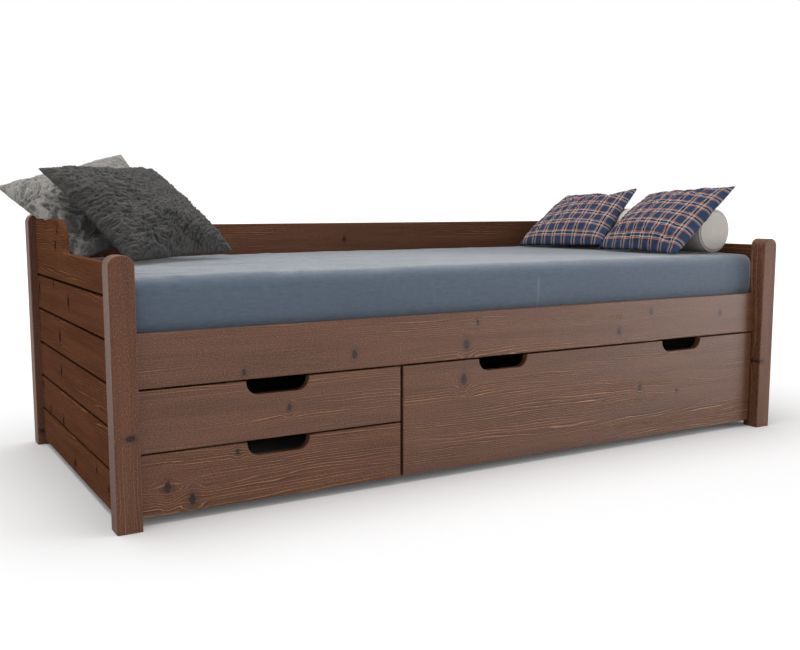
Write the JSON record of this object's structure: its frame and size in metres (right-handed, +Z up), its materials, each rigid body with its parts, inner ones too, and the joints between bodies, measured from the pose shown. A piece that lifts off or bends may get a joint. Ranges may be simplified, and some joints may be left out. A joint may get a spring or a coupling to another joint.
{
  "type": "storage bed",
  "caption": "Single storage bed with boarded ends, a back board, two small drawers on runners and one wide drawer on wheels, with mattress, pillows and bolster.",
  "frame": {"origin": "on the floor, in the middle of the outline seen from above", "axes": "+X along the bed to the right as seen from the drawer side, +Y from the drawer side to the back board, +Z up"},
  "size_m": [2.209, 1.006, 0.88],
  "materials": {
    "stained_wood": "brushed softwood, dark walnut stain, satin",
    "plain_wood": "stained softwood, planed",
    "plywood": "thin panel",
    "steel": "zinc plated",
    "nylon": "moulded",
    "blue_sheet": "cotton jersey, slate blue",
    "bolster_cloth": "off-white woven cloth",
    "charcoal_cloth": "crinkled cloth, charcoal",
    "light_cloth": "crinkled cloth, light grey",
    "plaid_cloth": "woven navy plaid with orange and white lines"
  },
  "bodies": {
    "bed": {"back_board": "stained_wood", "back_ledger": "plain_wood", "back_plaid_pillow": "plaid_cloth", "back_rail": "stained_wood", "bed_slats": "plain_wood", "bolster": "bolster_cloth", "charcoal_pillow": "charcoal_cloth", "divider_panel": "plain_wood", "drawer_runners": "plain_wood", "frame_screws": "steel", "front_ledger": "plain_wood", "front_plaid_pillow": "plaid_cloth", "front_rail": "stained_wood", "joint_pins": "plain_wood", "left_back_post": "stained_wood", "left_end_board_1": "stained_wood", "left_end_board_2": "stained_wood", "left_end_board_3": "stained_wood", "left_end_board_4": "stained_wood", "left_end_board_5": "stained_wood", "left_end_top_board": "stained_wood", "left_front_post": "stained_wood", "light_pillow": "light_cloth", "mattress": "blue_sheet", "right_back_post": "stained_wood", "right_end_board_1": "stained_wood", "right_end_board_2": "stained_wood", "right_end_board_3": "stained_wood", "right_end_board_4": "stained_wood", "right_end_board_5": "stained_wood", "right_end_top_board": "stained_wood", "right_front_post": "stained_wood", "slat_screws": "steel"},
    "lower_drawer": {"lower_drawer_back": "plain_wood", "lower_drawer_bottom": "plywood", "lower_drawer_front": "stained_wood", "lower_drawer_left_side": "plain_wood", "lower_drawer_right_side": "plain_wood", "lower_drawer_screws": "steel"},
    "upper_drawer": {"upper_drawer_back": "plain_wood", "upper_drawer_bottom": "plywood", "upper_drawer_front": "stained_wood", "upper_drawer_left_side": "plain_wood", "upper_drawer_right_side": "plain_wood", "upper_drawer_screws": "steel"},
    "wide_drawer": {"wheel_axles": "steel", "wheel_bracket_screws": "steel", "wheel_brackets": "steel", "wide_drawer_back": "plain_wood", "wide_drawer_battens": "plain_wood", "wide_drawer_bottom": "plywood", "wide_drawer_front": "stained_wood", "wide_drawer_left_side": "plain_wood", "wide_drawer_right_side": "plain_wood", "wide_drawer_screws": "steel"},
    "wheel_front_left": {"wheel_front_left": "nylon"},
    "wheel_front_right": {"wheel_front_right": "nylon"},
    "wheel_back_left": {"wheel_back_left": "nylon"},
    "wheel_back_right": {"wheel_back_right": "nylon"}
  },
  "joints": [
    {"name": "lower_drawer_slide", "type": "slide", "parent": "bed", "child": "lower_drawer", "axis": [0, -1, 0], "range_m": [0, 0.45]},
    {"name": "upper_drawer_slide", "type": "slide", "parent": "bed", "child": "upper_drawer", "axis": [0, -1, 0], "range_m": [0, 0.45]},
    {"name": "wide_drawer_slide", "type": "slide", "parent": "bed", "child": "wide_drawer", "axis": [0, -1, 0], "range_m": [0, 0.6]},
    {"name": "wheel_front_left_roll", "type": "hinge", "parent": "wide_drawer", "child": "wheel_front_left", "pos_m": [-0.184, -0.347, 0.02], "axis": [1, 0, 0], "continuous": true},
    {"name": "wheel_front_right_roll", "type": "hinge", "parent": "wide_drawer", "child": "wheel_front_right", "pos_m": [0.958, -0.347, 0.02], "axis": [1, 0, 0], "continuous": true},
    {"name": "wheel_back_left_roll", "type": "hinge", "parent": "wide_drawer", "child": "wheel_back_left", "pos_m": [-0.184, 0.298, 0.02], "axis": [1, 0, 0], "continuous": true},
    {"name": "wheel_back_right_roll", "type": "hinge", "parent": "wide_drawer", "child": "wheel_back_right", "pos_m": [0.958, 0.298, 0.02], "axis": [1, 0, 0], "continuous": true}
  ],
  "couplings": [
    {"joint": "wheel_front_left_roll", "follows": "wide_drawer_slide", "rad_per_m": 50},
    {"joint": "wheel_front_right_roll", "follows": "wide_drawer_slide", "rad_per_m": 50},
    {"joint": "wheel_back_left_roll", "follows": "wide_drawer_slide", "rad_per_m": 50},
    {"joint": "wheel_back_right_roll", "follows": "wide_drawer_slide", "rad_per_m": 50}
  ]
}
